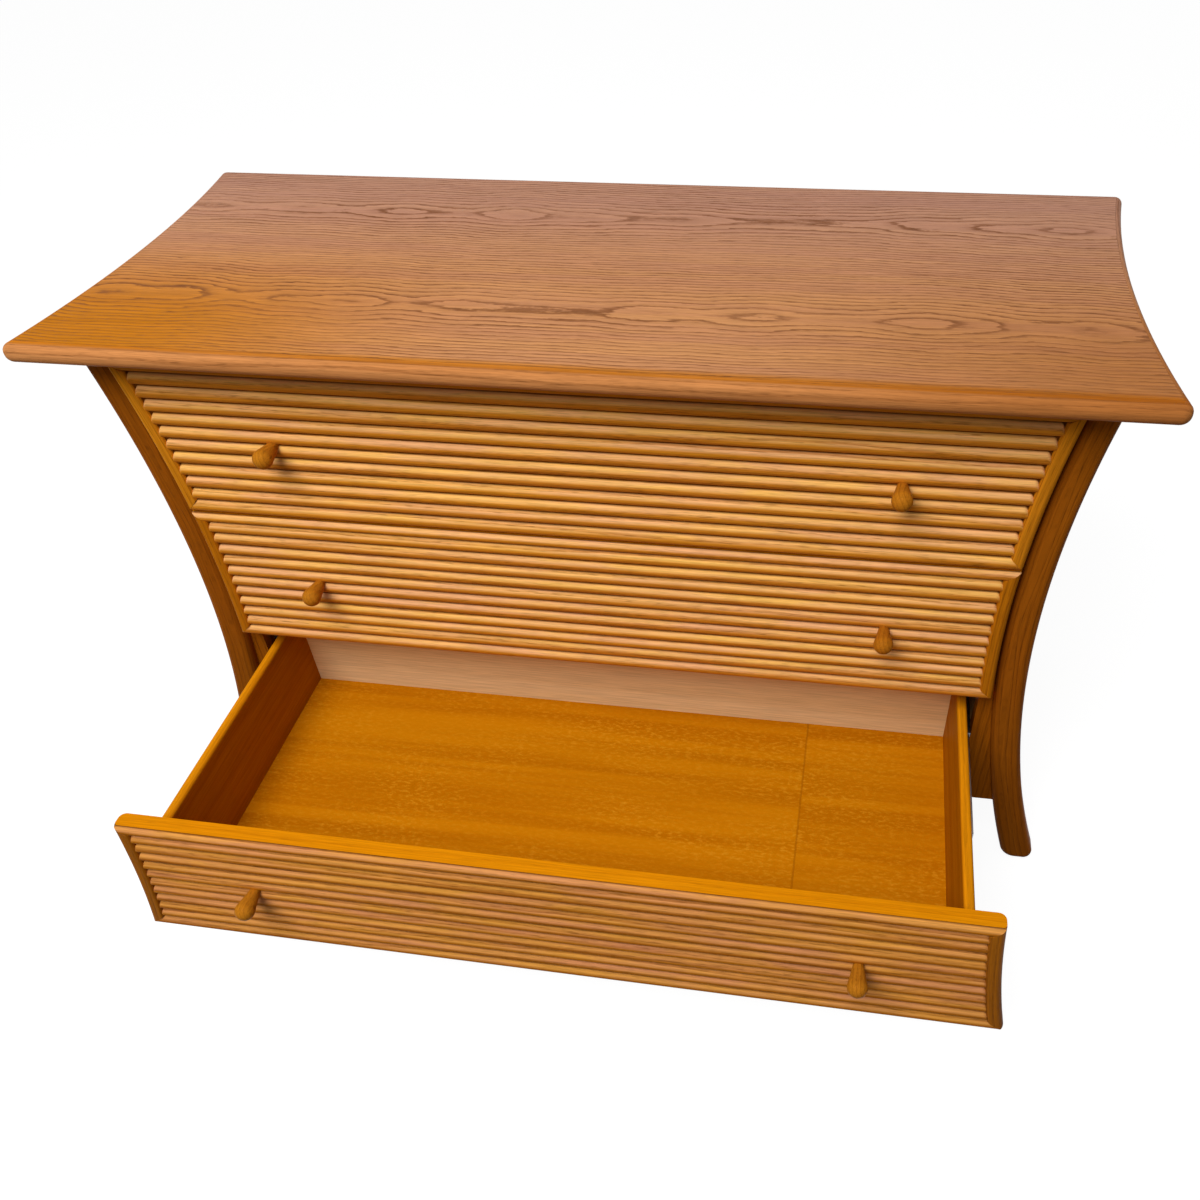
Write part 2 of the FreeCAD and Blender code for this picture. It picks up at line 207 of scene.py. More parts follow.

# The painted light on the top, in metres of the frame: where it turns pale to the rear as a
# painted reflection, amber at the front left as painted warm light and brown at the front right as
# painted shade, and the amber line along the front where the reflection breaks off
pale_rear = (0.05, 0.42)
amber_left = (-0.5, -0.06)
amber_rear = (-0.03, 0.22)
brown_right = (0.1, 0.6)
brown_rear = (-0.06, 0.2)
line_start = (-0.094, -0.09)
line_end = (-0.084, -0.072)
patch_start = (-0.092, -0.088)

# Straight rings: how they lean through the board, and their long and their short waves in metres
ring_lean = 0.4
long_wave = 0.02
short_wave = 0.0025

# How dark the early wood of a ring is from its start to its end
ring_stops = ((0.0, 1.0), (0.1, 0.85), (0.24, 0.25), (0.55, 0.04), (0.9, 0.0), (1.0, 1.0))

# The veneer of the drawer bottoms, in metres: its seam and how far its second sheet is moved
bottom_seam = 0.274
sheet_shift = 0.37

# Camera, in millimetres of the sensor, shares of the picture, degrees and metres
camera_lens = 32.097
camera_sensor = 36.0
camera_shift = (-0.0728, 0.0534)
camera_turn = (46.2605, 1.6649, 8.9222)
camera_place = (0.29747, -1.02735, 1.2889)

# Lamp, surround and floor, in metres, watts and shares of white
lamp_place = (-0.7, -1.75, 3.1)
lamp_aim = (0.0, -0.1, 0.45)
lamp_size = 1.9
lamp_power = 98.0
surround_level = 0.28
floor_reach = 20.0
floor_tone = 0.12
floor_seen_tone = 0.2
floor_glow = 0.92

chance = random.Random(7)


def bow_x(bow, offset, along):
    """How far out a bow lies at a place along it, offset towards the middle."""
    axis_x, radius, waist = bow
    return axis_x - math.sqrt((radius + offset) ** 2 - (along - waist) ** 2)


def spread(low, high, steps):
    """Evenly spaced values from low to high."""
    return [low + (high - low) * step / steps for step in range(steps + 1)]


def bow_points(bow, offset, low, high):
    """Points along a stretch of a bow."""
    return [(bow_x(bow, offset, along), along) for along in spread(low, high, bow_steps)]


def bow_corner(bow, side, radius, inset, base, way):
    """The round corner between a straight edge and a bow, from the straight edge on."""
    axis_x, _, waist = bow
    centre_along = base + way * radius
    centre_x = bow_x(bow, side * radius, centre_along)
    to_axis = math.atan2(waist - centre_along, axis_x - centre_x)
    outward = to_axis if side > 0 else to_axis + math.pi
    straight = -way * math.pi / 2
    turn = math.remainder(outward - straight, 2 * math.pi)
    reach = radius - inset
    return [(centre_x + reach * math.cos(angle), centre_along + reach * math.sin(angle))
            for angle in spread(straight, straight + turn, corner_steps)]


def quarter_round(radius, steps=edge_steps):
    """The inset and the depth of each step from a face to the side, round an edge."""
    return [(radius * (1 - math.sin(angle)), radius * (1 - math.cos(angle)))
            for angle in spread(0.0, math.pi / 2, steps)]


def both_sides(right):
    """A ring of points from its right half."""
    return right + [(-across, along) for across, along in reversed(right)]


def ring_form(rings):
    """Points and faces of rings joined in order, with a lid at each end."""
    count = len(rings[0])
    points = [point for ring in rings for point in ring]
    faces = [tuple(reversed(range(count))), tuple(range(len(points) - count, len(points)))]
    for number in range(len(rings) - 1):
        low = number * count
        for here in range(count):
            there = (here + 1) % count
            faces.append((low + here, low + there, low + count + there, low + count + here))
    return points, faces


def mirrored(form):
    """The same form on the other side of the chest."""
    points, faces = form
    return [(-x, y, z) for x, y, z in points], [tuple(reversed(face)) for face in faces]


def pair(form):
    """A form on the left and on the right."""
    return [mirrored(form), form]


def each_side(form):
    """A form on the right and on the left, each with the name of its side."""
    return ("right", form), ("left", mirrored(form))


def in_plan(ring, z):
    return [(across, along, z) for across, along in ring]


def in_front_view(ring, y):
    return [(across, y, along) for across, along in ring]


def grain_along_x(point):
    return point


def grain_along_y(point):
    return point[1], point[0], point[2]


def grain_along(bow, upright):
    """Grain that follows a bow, in an upright piece or along the side of the top."""
    def unrolled(point):
        along, across = (point[2], point[1]) if upright else (point[1], point[2])
        return along, bow_x(bow, 0.0, along) - abs(point[0]), across
    return unrolled


def linked(name, data):
    """A new object in the scene."""
    made = bpy.data.objects.new(name, data)
    bpy.context.scene.collection.objects.link(made)
    return made


def mesh_object(name, points, faces):
    """An object of a mesh whose faces all look outward."""
    mesh = bpy.data.meshes.new(name)
    mesh.from_pydata(points, [], faces)
    turned = bmesh.new()
    turned.from_mesh(mesh)
    bmesh.ops.recalc_face_normals(turned, faces=turned.faces)
    turned.to_mesh(mesh)
    turned.free()
    return linked(name, mesh)


def smooth(made):
    """Smooth shading, with the sharp edges and the large faces kept."""
    made.data.shade_smooth()
    made.data.set_sharp_from_angle(angle=math.radians(sharp_angle))
    weighted = made.modifiers.new("flat_faces", "WEIGHTED_NORMAL")
    weighted.keep_sharp = True
    weighted.weight = flat_face_weight


def no_depth(point):
    return 0.0


def reed_depth(point):
    """How deep a point lies between the reeds, from none at a crest to one at the board."""
    return min(1.0, (point[1] - crest_y) / (board_front_y - crest_y))


def write_grain(mesh, values, tones, depths):
    """Keeps at every point where it lies in its board, the tone of the board and the depth of
    the groove it is in."""
    grain = mesh.attributes.new("grain", "FLOAT_VECTOR", "POINT")
    grain.data.foreach_set("vector", [number * MM for value in values for number in value])
    tone = mesh.attributes.new("tone", "FLOAT", "POINT")
    tone.data.foreach_set("value", tones)
    depth = mesh.attributes.new("depth", "FLOAT", "POINT")
    depth.data.foreach_set("value", depths)


def placed(point, pulled):
    """A drawn point in the frame."""
    return Vector((point[0], point[1] - origin_y - pulled, point[2])) * MM


def grain_start():
    """Where in the endless board a form's grain starts."""
    return [chance.uniform(0.0, grain_spread) for _ in range(3)]


def piece(name, forms, unrolled, materials, body, nodes, pulled=0.0, bevel=0.0,
          depth=no_depth, facing=None):
    """One object of several closed forms, each with its own stretch of grain and its own tone."""
    points, faces, grains, tones, depths = [], [], [], [], []
    for form_points, form_faces in forms:
        first = len(points)
        shift = grain_start()
        tones.extend([chance.random()] * len(form_points))
        for point in form_points:
            points.append(placed(point, pulled))
            depths.append(depth(point))
            grains.append([value + move for value, move in zip(unrolled(point), shift)])
        faces.extend([tuple(first + index for index in face) for face in form_faces])
    made = mesh_object(name, points, faces)
    write_grain(made.data, grains, tones, depths)
    finish_piece(made, materials, body, nodes, bevel, facing)


def finish_piece(made, materials, body, nodes, bevel=0.0, facing=None):
    """Materials, softened edges and the piece's place in the frame. The faces that look the way
    of facing get the second material."""
    for material in materials:
        made.data.materials.append(material)
    if facing is not None:
        for face in made.data.polygons:
            face.material_index = int(face.normal.dot(facing) > facing_share)
    if bevel:
        softened = made.modifiers.new("softened", "BEVEL")
        softened.width = bevel * MM
        softened.segments = bevel_segments
        softened.limit_method = "ANGLE"
        softened.angle_limit = math.radians(bevel_angle)
    smooth(made)
    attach(made, body)
    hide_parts(*nodes)


def common(name, whole, room):
    """What of one closed mesh lies inside another."""
    cut = whole.modifiers.new("room", "BOOLEAN")
    cut.operation = "INTERSECT"
    cut.solver = "EXACT"
    cut.object = room
    graph = bpy.context.evaluated_depsgraph_get()
    mesh = bpy.data.meshes.new_from_object(whole.evaluated_get(graph))
    whole.modifiers.remove(cut)
    return linked(name, mesh)


# Shader nodes

def colour(red, green, blue):
    """A linear colour from one written as 0 to 255."""
    shares = [value / 255 for value in (red, green, blue)]
    linear = [share / 12.92 if share < 0.04045 else ((share + 0.055) / 1.055) ** 2.4
              for share in shares]
    return (*linear, 1.0)


def node(tree, kind, inputs=(), **settings):
    """A shader node with its settings, its inputs set to values or linked to outputs."""
    made = tree.nodes.new(kind)
    for key, value in settings.items():
        setattr(made, key, value)
    for key, value in dict(inputs).items():
        if isinstance(value, bpy.types.NodeSocket):
            tree.links.new(value, made.inputs[key])
        else:
            made.inputs[key].default_value = value
    return made


def maths(tree, operation, *values):
    return node(tree, "ShaderNodeMath", enumerate(values), operation=operation).outputs[0]


def stretched(tree, place, scales):
    """A place with each of its parts multiplied."""
    return node(tree, "ShaderNodeVectorMath", {0: place, 1: scales},
                operation="MULTIPLY").outputs[0]


def noise(tree, place, scales, detail=2.0, roughness=0.5):
    """Soft noise with scales along, across and into the board, as counts per metre."""
    made = node(tree, "ShaderNodeTexNoise", {"Vector": stretched(tree, place, scales),
                                             "Scale": 1.0, "Detail": detail,
                                             "Roughness": roughness})
    return made.outputs[0]


def ramp(tree, value, stops):
    """The level that a value has between stops."""
    made = node(tree, "ShaderNodeValToRGB", {0: value})
    elements = made.color_ramp.elements
    while len(elements) < len(stops):
        elements.new(0.5)
    for element, (position, level) in zip(elements, stops):
        element.position = position
        element.color = (level, level, level, 1.0)
    return made.outputs[0]


def mixed(tree, share, first, second, blend="MIX"):
    """One colour over another by a share."""
    made = node(tree, "ShaderNodeMix", {0: share, 6: first, 7: second}, data_type="RGBA",
                blend_type=blend)
    return made.outputs[2]


def ranged(tree, value, low, high, to_low, to_high):
    """A value moved from one range to another and kept inside it."""
    made = node(tree, "ShaderNodeMapRange", {0: value, 1: low, 2: high, 3: to_low, 4: to_high},
                interpolation_type="SMOOTHSTEP")
    return made.outputs[0]


def split(tree, vector):
    """The three parts of a vector."""
    return node(tree, "ShaderNodeSeparateXYZ", {0: vector}).outputs


def coordinate(tree, kind):
    """A coordinate of the point that is shaded: its place or the way it looks."""
    return node(tree, "ShaderNodeTexCoord").outputs[kind]


def attribute(tree, name, output="Fac"):
    """What the mesh keeps at the point that is shaded."""
    return node(tree, "ShaderNodeAttribute", attribute_name=name).outputs[output]


def board_place(tree, order=None):
    """Where a point lies in its board: along the grain, across it and into it. With an order of
    axes it is taken from the place in the object, and else from the grain kept in the mesh."""
    if order is None:
        return attribute(tree, "grain", "Vector")
    parts = split(tree, coordinate(tree, "Object"))
    return node(tree, "ShaderNodeCombineXYZ",
                {number: parts[axis] for number, axis in enumerate(order)}).outputs[0]


def straight_rings(tree, place, pitch):
    """Growth rings that run along the board, counted across it."""
    parts = split(tree, place)
    slow = noise(tree, place, long_wave_scales, 1.0)
    quick = noise(tree, place, short_wave_scales, 1.0)
    across = maths(tree, "MULTIPLY_ADD", parts[2], ring_lean, parts[1])
    across = maths(tree, "MULTIPLY_ADD", slow, long_wave, across)
    across = maths(tree, "MULTIPLY_ADD", quick, short_wave, across)
    return maths(tree, "DIVIDE", across, pitch)


def cathedral_rings(tree, place, pitch):
    """Growth rings of two leaves of veneer sliced near the heart, where rings open into
    long pointed islands with ragged ends."""
    parts = split(tree, place)
    behind = maths(tree, "GREATER_THAN", parts[1], leaf_seam)
    front_heart, rear_heart = leaf_hearts
    heart = maths(tree, "MULTIPLY_ADD", behind, rear_heart - front_heart, front_heart)
    sway = noise(tree, place, sway_scales, 0.0)
    across = maths(tree, "SUBTRACT", parts[1], heart)
    across = maths(tree, "SUBTRACT", across, heart_sway / 2)
    across = maths(tree, "MULTIPLY_ADD", sway, heart_sway, across)
    leaf = node(tree, "ShaderNodeCombineXYZ",
                {0: parts[0], 1: maths(tree, "MULTIPLY", behind, leaf_shift), 2: 0.0}).outputs[0]
    rise = noise(tree, leaf, heart_depth_scales, 3.0, 0.65)
    depth = maths(tree, "MULTIPLY_ADD", rise, heart_depth_swing, heart_depth_least)
    aside = maths(tree, "POWER", maths(tree, "ABSOLUTE", across), island_power)
    reach = maths(tree, "ADD", aside, maths(tree, "POWER", depth, island_power))
    reach = maths(tree, "POWER", reach, 1 / island_power)
    for scales, swing in ragged_waves:
        reach = maths(tree, "MULTIPLY_ADD", noise(tree, place, scales, 2.0, 0.6), swing, reach)
    return maths(tree, "DIVIDE", reach, pitch)


def same_colour(tree, base):
    return base


def painted_top_light(tree, base):
    """Painted light on the top: amber in the front left corner as painted warm light, an amber
    line along the front edge where the reflection breaks off, paler pink behind as a painted
    reflection and browner at the front right as painted shade."""
    x, y, _ = split(tree, coordinate(tree, "Object"))
    amber = mixed(tree, 1.0, base, colour(*amber_tint), "MULTIPLY")
    pale = mixed(tree, ranged(tree, y, *pale_rear, 0.0, 0.5), base, colour(*pale_tone))
    corner = maths(tree, "MULTIPLY", ranged(tree, x, *amber_left, 1.0, 0.0),
                   ranged(tree, y, *amber_rear, 1.0, 0.0))
    right = maths(tree, "MULTIPLY", ranged(tree, x, *brown_right, 0.0, 1.0),
                  ranged(tree, y, *brown_rear, 1.0, 0.0))
    darker = mixed(tree, right, colour(255, 255, 255), colour(*brown_tint))
    line = maths(tree, "MULTIPLY", ranged(tree, y, *line_start, 0.0, 0.8),
                 ranged(tree, y, *line_end, 1.0, 0.0))
    patches = maths(tree, "MULTIPLY", corner, ranged(tree, y, *patch_start, 0.0, 1.0))
    reflected_and_lit = mixed(tree, maths(tree, "MAXIMUM", patches, line), pale, amber)
    return mixed(tree, 1.0, reflected_and_lit, darker, "MULTIPLY")


def painted_crest_highlight(pink, amber):
    """A painted highlight: paler colour on the upward-facing sides of the reeds, where the light
    from
    above falls: more pink or more amber from reed to reed and in patches along each of them."""
    def finish_and_painted_light(tree, base):
        upward = split(tree, coordinate(tree, "Normal"))[2]
        patches = noise(tree, board_place(tree), crest_scales)
        share = maths(tree, "MULTIPLY_ADD", attribute(tree, "tone"), 0.45,
                      ranged(tree, patches, *narrow, 0.0, 0.55))
        crest = mixed(tree, share, colour(*pink), colour(*amber))
        return mixed(tree, ranged(tree, upward, 0.0, 0.55, 0.0, 0.8), base, crest)
    return finish_and_painted_light


def pale_upper_edge(tree, base):
    """Paler, brighter orange where a wall rounds over at its upper edge, on the faces that look
    upward.
    """
    upward = split(tree, coordinate(tree, "Normal"))[2]
    return mixed(tree, ranged(tree, upward, 0.15, 0.95, 0.0, 1.0), base, colour(*upper_edge_tone))


def new_material(name):
    """A material with shader nodes."""
    material = bpy.data.materials.new(name)
    material.use_nodes = True
    return material


def bumped(tree, height, strength, distance):
    """The normal of a surface with a fine relief."""
    return node(tree, "ShaderNodeBump", {"Strength": strength, "Distance": distance,
                                         "Height": height}).outputs[0]


def surface(tree, base, roughness, normal, **values):
    """Gives a material's shader its colour, its roughness, its relief and its other values."""
    shader = tree.nodes["Principled BSDF"]
    for key, output in (("Base Color", base), ("Roughness", roughness), ("Normal", normal)):
        tree.links.new(output, shader.inputs[key])
    for key, value in values.items():
        shader.inputs[key].default_value = value


def wood(name, tones, pitch=0.006, order=None, rings=straight_rings, ring_share=0.6,
         pore_share=0.55, gloss=0.36, tone_share=0.4, finish_and_painted_light=same_colour):
    """Lacquered wood: rings with open pores in their early wood, long streaks and fine fibres.
    The tones are a light one, a warm one, that of the rings and that of the pores."""
    light, warm, ring_tone, pore_tone = [colour(*tone) for tone in tones]
    material = new_material(name)
    tree = material.node_tree
    place = board_place(tree, order)
    early = ramp(tree, maths(tree, "FRACT", rings(tree, place, pitch)), ring_stops)
    streaks = noise(tree, place, streak_scales, 3.0, 0.6)
    patches = noise(tree, place, patch_scales)
    fibres = noise(tree, place, fibre_scales, 2.0, 0.6)
    dashes = noise(tree, place, pore_scales, 1.0)
    share = maths(tree, "ADD", ranged(tree, streaks, *narrow, 0.0, 0.6),
                  maths(tree, "MULTIPLY", attribute(tree, "tone"), tone_share))
    # The colour given over the wood: for the top and the reeds it holds painted light and shade
    base = finish_and_painted_light(tree, mixed(tree, share, light, warm))
    depth = maths(tree, "MULTIPLY", ranged(tree, patches, *broad, 0.5, 1.0), ring_share)
    base = mixed(tree, maths(tree, "MULTIPLY", early, depth), base, ring_tone)
    pores = maths(tree, "MULTIPLY", ranged(tree, dashes, 0.52, 0.66, 0.0, 1.0),
                  maths(tree, "MULTIPLY_ADD", early, 0.65, 0.35))
    base = mixed(tree, maths(tree, "MULTIPLY", pores, pore_share), base, pore_tone)
    shade = ranged(tree, fibres, 0.25, 0.75, 0.86, 1.12)
    base = mixed(tree, 1.0, base, shade, "MULTIPLY")
    # Darker where a surface lies deep towards the board, in the grooves between the reeds: partly
    # the darker finish that gathers there, partly painted shade
    groove_finish_and_shade = ranged(tree, attribute(tree, "depth"), 0.55, 1.0, 0.0, 0.75)
    base = mixed(tree, groove_finish_and_shade, base, pore_tone)
    height = maths(tree, "SUBTRACT", maths(tree, "MULTIPLY", fibres, 0.5), pores)
    surface(tree, base, ranged(tree, streaks, *broad, gloss - 0.04, gloss + 0.08),
            bumped(tree, height, wood_relief, wood_relief_depth), IOR=lacquer_index)
    return material


def ribbon(name, tones):
    """Veneer with soft ribbons and short glints, in two sheets that meet at a seam."""
    light, dark, glint, line = [colour(*tone) for tone in tones]
    material = new_material(name)
    tree = material.node_tree
    place = board_place(tree, (0, 1, 2))
    along = split(tree, place)[0]
    second = maths(tree, "GREATER_THAN", along, bottom_seam)
    shifted = node(tree, "ShaderNodeCombineXYZ",
                   {1: maths(tree, "MULTIPLY", second, sheet_shift)}).outputs[0]
    place = node(tree, "ShaderNodeVectorMath", {0: place, 1: shifted}, operation="ADD").outputs[0]
    bands = noise(tree, place, band_scales, 2.5, 0.55)
    flecks = noise(tree, place, fleck_scales, 3.0, 0.7)
    drift = noise(tree, place, drift_scales)
    base = mixed(tree, ranged(tree, bands, 0.36, 0.64, 0.0, 0.8), light, dark)
    lit = maths(tree, "MULTIPLY", ranged(tree, flecks, 0.44, 0.7, 0.0, 1.0),
                ranged(tree, drift, *narrow, 0.3, 0.8))
    base = mixed(tree, lit, base, glint)
    from_seam = maths(tree, "ABSOLUTE", maths(tree, "SUBTRACT", along, bottom_seam))
    base = mixed(tree, ranged(tree, from_seam, 0.0005, 0.002, 0.45, 0.0), base, line)
    surface(tree, base, ranged(tree, bands, *broad, 0.42, 0.55),
            bumped(tree, flecks, veneer_relief, veneer_relief_depth), IOR=lacquer_index)
    return material


def zinc(name):
    """Zinc-plated sheet with fine rolling lines."""
    material = new_material(name)
    tree = material.node_tree
    place = board_place(tree, (1, 0, 2))
    lines = noise(tree, place, zinc_line_scales)
    clouds = noise(tree, place, zinc_cloud_scales)
    bright, dull = [colour(*tone) for tone in zinc_tones]
    base = mixed(tree, ranged(tree, clouds, *broad, 0.0, 1.0), bright, dull)
    surface(tree, base, ranged(tree, lines, *broad, 0.28, 0.45),
            bumped(tree, lines, zinc_relief, zinc_relief_depth), Metallic=1.0)
    return material


# Materials

inner_tones = ((176, 128, 78), (166, 116, 66), (140, 92, 46), (120, 80, 42))

oak_top = wood("oak_top", ((210, 147, 94), (198, 136, 98), (126, 74, 40), (98, 58, 34)),
               0.0056, (0, 1, 2), cathedral_rings, ring_share=0.95, pore_share=0.5,
               finish_and_painted_light=painted_top_light)
oak_edge = wood("oak_edge", ((212, 144, 86), (190, 122, 66), (142, 82, 38), (104, 60, 28)), 0.009,
                finish_and_painted_light=painted_top_light)
oak_reed = wood("oak_reed", ((224, 144, 34), (210, 128, 38), (188, 108, 28), (122, 70, 14)), 0.011,
                tone_share=0.3, finish_and_painted_light=painted_crest_highlight((244, 184, 136), (255, 200, 106)))
# A darker, browner copy of the reed wood for the open lower drawer, as painted shade
oak_reed_shaded_low = wood("oak_reed_shaded_low", ((196, 118, 14), (180, 101, 18), (150, 78, 12), (98, 52, 2)),
                    0.011, finish_and_painted_light=painted_crest_highlight((222, 151, 106), (234, 166, 72)))
# The same strip wood for each drawer, in copies that darken from the upper to the lower one as
# painted shade
oak_strips_shaded_by_drawer = [
    wood("oak_strip_upper", ((222, 142, 26), (206, 124, 22), (164, 94, 14), (122, 70, 10)), 0.007),
    wood("oak_strip_middle", ((198, 120, 16), (184, 106, 12), (146, 78, 8), (114, 62, 8)), 0.007),
    wood("oak_strip_lower", ((178, 106, 20), (162, 92, 16), (126, 70, 12), (98, 52, 10)), 0.007)]
oak_leg = wood("oak_leg", ((166, 92, 16), (148, 77, 11), (112, 57, 8), (88, 44, 8)), 0.008)
oak_board = wood("oak_board", ((226, 142, 8), (218, 132, 4), (194, 110, 0), (164, 92, 6)), 0.014,
                 ring_share=0.35, pore_share=0.25)
# The board's front face, seen only in the gaps between and at the ends of the reeds, is dark brown
# as painted shade
oak_gap_shade = wood("oak_gap_shade", ((112, 62, 12), (102, 54, 8), (84, 42, 6), (70, 36, 6)), 0.01)
oak_knob = wood("oak_knob", ((193, 122, 28), (178, 106, 22), (142, 80, 12), (112, 62, 12)), 0.005,
                ring_share=0.45, gloss=0.3)
side_wood = wood("side_wood", ((178, 110, 8), (166, 98, 4), (146, 80, 0), (126, 70, 4)), 0.02,
                 ring_share=0.25, pore_share=0.25, gloss=0.45, finish_and_painted_light=pale_upper_edge)
back_wood = wood("back_wood", ((242, 212, 162), (236, 204, 150), (222, 184, 124), (200, 160, 104)),
                 0.03, ring_share=0.3, pore_share=0.15, gloss=0.45)
inner_across = wood("inner_across", inner_tones, 0.012, (0, 2, 1), gloss=0.5)
inner_back = wood("inner_back", ((182, 132, 84), (170, 120, 72), (146, 98, 54), (126, 84, 46)),
                  0.02, (2, 0, 1), ring_share=0.4, gloss=0.5)
inner_deep = wood("inner_deep", inner_tones, 0.012, (1, 2, 0), gloss=0.5)
leg_upright = wood("leg_upright", ((168, 92, 12), (150, 77, 7), (112, 56, 5), (86, 42, 6)),
                   0.009, (2, 0, 1))
bottom_veneer = ribbon("bottom_veneer",
                       ((206, 126, 4), (184, 105, 0), (222, 148, 28), (150, 84, 4)))
slide_zinc = zinc("slide_zinc")


# The top

def top_ring(inset, z):
    """The plan of the top at one height."""
    front = bow_corner(top_bow, 1, top_front_corner, inset, 0.0, 1)
    rear = bow_corner(top_bow, 1, top_rear_corner, inset, top_depth, -1)
    side = bow_points(top_bow, inset, front[-1][1], rear[-1][1])
    return in_plan(both_sides(front[:-1] + side + rear[-2::-1]), z)


def whole_top():
    """The top in one piece, rounded all the way round."""
    steps = quarter_round(top_edge_radius)
    below = [top_ring(inset, top_underside + depth) for inset, depth in steps]
    above = [top_ring(inset, top_height - depth) for inset, depth in reversed(steps)]
    return ring_form(below + above)


def seam_room(low_y, high_y, inset, beyond):
    """Room between two depths, inside or outside the side seams."""
    seam = bow_points(top_bow, inset, low_y, high_y)
    if beyond:
        ring = seam + [(top_width, high_y), (top_width, low_y)]
    else:
        ring = both_sides(seam)
    return ring_form([in_plan(ring, z)
                      for z in (top_underside - cut_overrun, top_height + cut_overrun)])


def framed(form):
    """The points and faces of a form, in the frame."""
    points, faces = form
    return [placed(point, 0.0) for point in points], faces


def grained(made, unrolled):
    """Writes the grain on a mesh that is already in its place."""
    shift = grain_start()
    drawn = [vertex.co / MM + Vector((0.0, origin_y, 0.0)) for vertex in made.data.vertices]
    values = [[value + move for value, move in zip(unrolled(point), shift)] for point in drawn]
    write_grain(made.data, values, [chance.random()] * len(drawn), [0.0] * len(drawn))


def top_pieces():
    """The panel, the nosing along its front and the edging along each side, with fine seams."""
    whole = mesh_object("whole_top", *framed(whole_top()))
    behind = nosing_depth + seam_gap / 2
    rear = top_depth + cut_overrun
    panel = seam_room(behind, rear, edging_width + seam_gap / 2, False)
    nosing = seam_room(-cut_overrun, nosing_depth - seam_gap / 2, -cut_side_overrun, False)
    edging = seam_room(behind, rear, edging_width - seam_gap / 2, True)
    along_side = grain_along(top_bow, False)
    rooms = ((panel, grain_along_x, oak_top, "top_panel"),
             (nosing, grain_along_x, oak_edge, "top_front_nosing"),
             (edging, along_side, oak_edge, "top_right_edging"),
             (mirrored(edging), along_side, oak_edge, "top_left_edging"))
    for form, unrolled, material, cad_node in rooms:
        room = mesh_object("room", *framed(form))
        made = common("chest_" + cad_node, whole, room)
        bpy.data.objects.remove(room)
        grained(made, unrolled)
        made.data.materials.clear()
        finish_piece(made, [material], "case", [cad_node])
    bpy.data.objects.remove(whole)


# Legs and sides

def leg_ring(inset, y):
    """The front view of a right leg."""
    outer_foot = bow_corner(outer_bow, 1, outer_foot_radius, inset, 0.0, 1)
    inner_foot = bow_corner(inner_bow, -1, inner_foot_radius, inset, 0.0, 1)
    outside = bow_points(outer_bow, inset, outer_foot[-1][1], top_underside)
    inside = bow_points(inner_bow, -inset, inner_foot[-1][1], top_underside)
    ring = outer_foot[:-1] + outside + inside[::-1] + inner_foot[-2::-1]
    return in_front_view(ring, y)


def leg(y_front):
    """A right leg, rounded along all its edges and under its foot."""
    steps = quarter_round(leg_edge_radius)
    front = [leg_ring(inset, y_front + depth) for inset, depth in steps]
    back = [leg_ring(inset, y_front + leg_depth - depth) for inset, depth in reversed(steps)]
    return ring_form(front + back)


def legs_and_sides():
    """Four legs and the two bent sides between them."""
    unrolled = grain_along(outer_bow, True)
    for place, y_front in (("front", leg_front_y), ("rear", leg_rear_y)):
        for side, form in each_side(leg(y_front)):
            name = place + "_" + side + "_leg"
            piece("chest_" + name, [form], unrolled, [oak_leg], "case", [name])
    half = side_panel_thickness / 2
    outside = bow_points(panel_bow, -half, case_bottom, top_underside)
    inside = bow_points(panel_bow, half, case_bottom, top_underside)
    ring = outside + inside[::-1]
    ends = (leg_front_y + leg_depth + joint_gap, leg_rear_y - joint_gap)
    for side, form in each_side(ring_form([in_front_view(ring, y) for y in ends])):
        name = side + "_side_panel"
        piece("chest_" + name, [form], unrolled, [oak_leg], "case", [name])


# Drawer fronts

def corner_inset(distance):
    """How far in the border's rounded lower corner lies at a distance from its lower edge."""
    left = max(0.0, border_corner_radius - distance)
    return border_corner_radius - math.sqrt(border_corner_radius ** 2 - left ** 2)


def board(z_low):
    """The board behind the reeds, rounded in plan at its ends and at its lower corners."""
    axis_x, radius, waist = inner_bow
    edge = (axis_x, radius + front_leg_gap, waist)

    def ring(inset, y):
        corner = bow_corner(edge, 1, board_corner_radius, inset, z_low - inset, 1)
        side = bow_points(edge, inset, corner[-1][1], z_low + front_height)
        return in_front_view(both_sides(corner[:-1] + side), y)
    front = [ring(inset, board_front_y + depth)
             for inset, depth in quarter_round(board_front_radius)]
    rear = [ring(inset, board_back_y - depth)
            for inset, depth in reversed(quarter_round(board_end_radius))]
    return ring_form(front + rear)


def reed_section(low, high):
    """The round of a reed, as heights and depths."""
    half = (high - low - reed_gap) / 2
    rise = board_front_y - crest_y
    radius = (half ** 2 + rise ** 2) / (2 * rise)
    turn = math.asin(half / radius)
    middle = (low + high) / 2
    return [(middle + radius * math.sin(angle), crest_y + radius * (1 - math.cos(angle)))
            for angle in spread(-turn, turn, reed_steps)]


def inner_reed(low, high):
    """A reed between the end strips, with noses that round down towards its lower edge."""
    inset = front_leg_gap + strip_width - reed_end_overlap
    reach = min(bow_x(inner_bow, inset, z) for z in (low, high))
    section = reed_section(low, high)
    foot = section[0][0]
    right = []
    for angle in spread(0.0, math.pi / 2, nose_steps):
        x = reach - reed_nose * (1 - math.sin(angle))
        height = nose_height_share + (1 - nose_height_share) * math.cos(angle)
        depth = nose_depth_share + (1 - nose_depth_share) * math.cos(angle)
        right.append([(x, board_front_y - depth * (board_front_y - y), foot + height * (z - foot))
                      for z, y in section])
    left = [[(-x, y, z) for x, y, z in ring] for ring in reversed(right)]
    return ring_form(left + right)


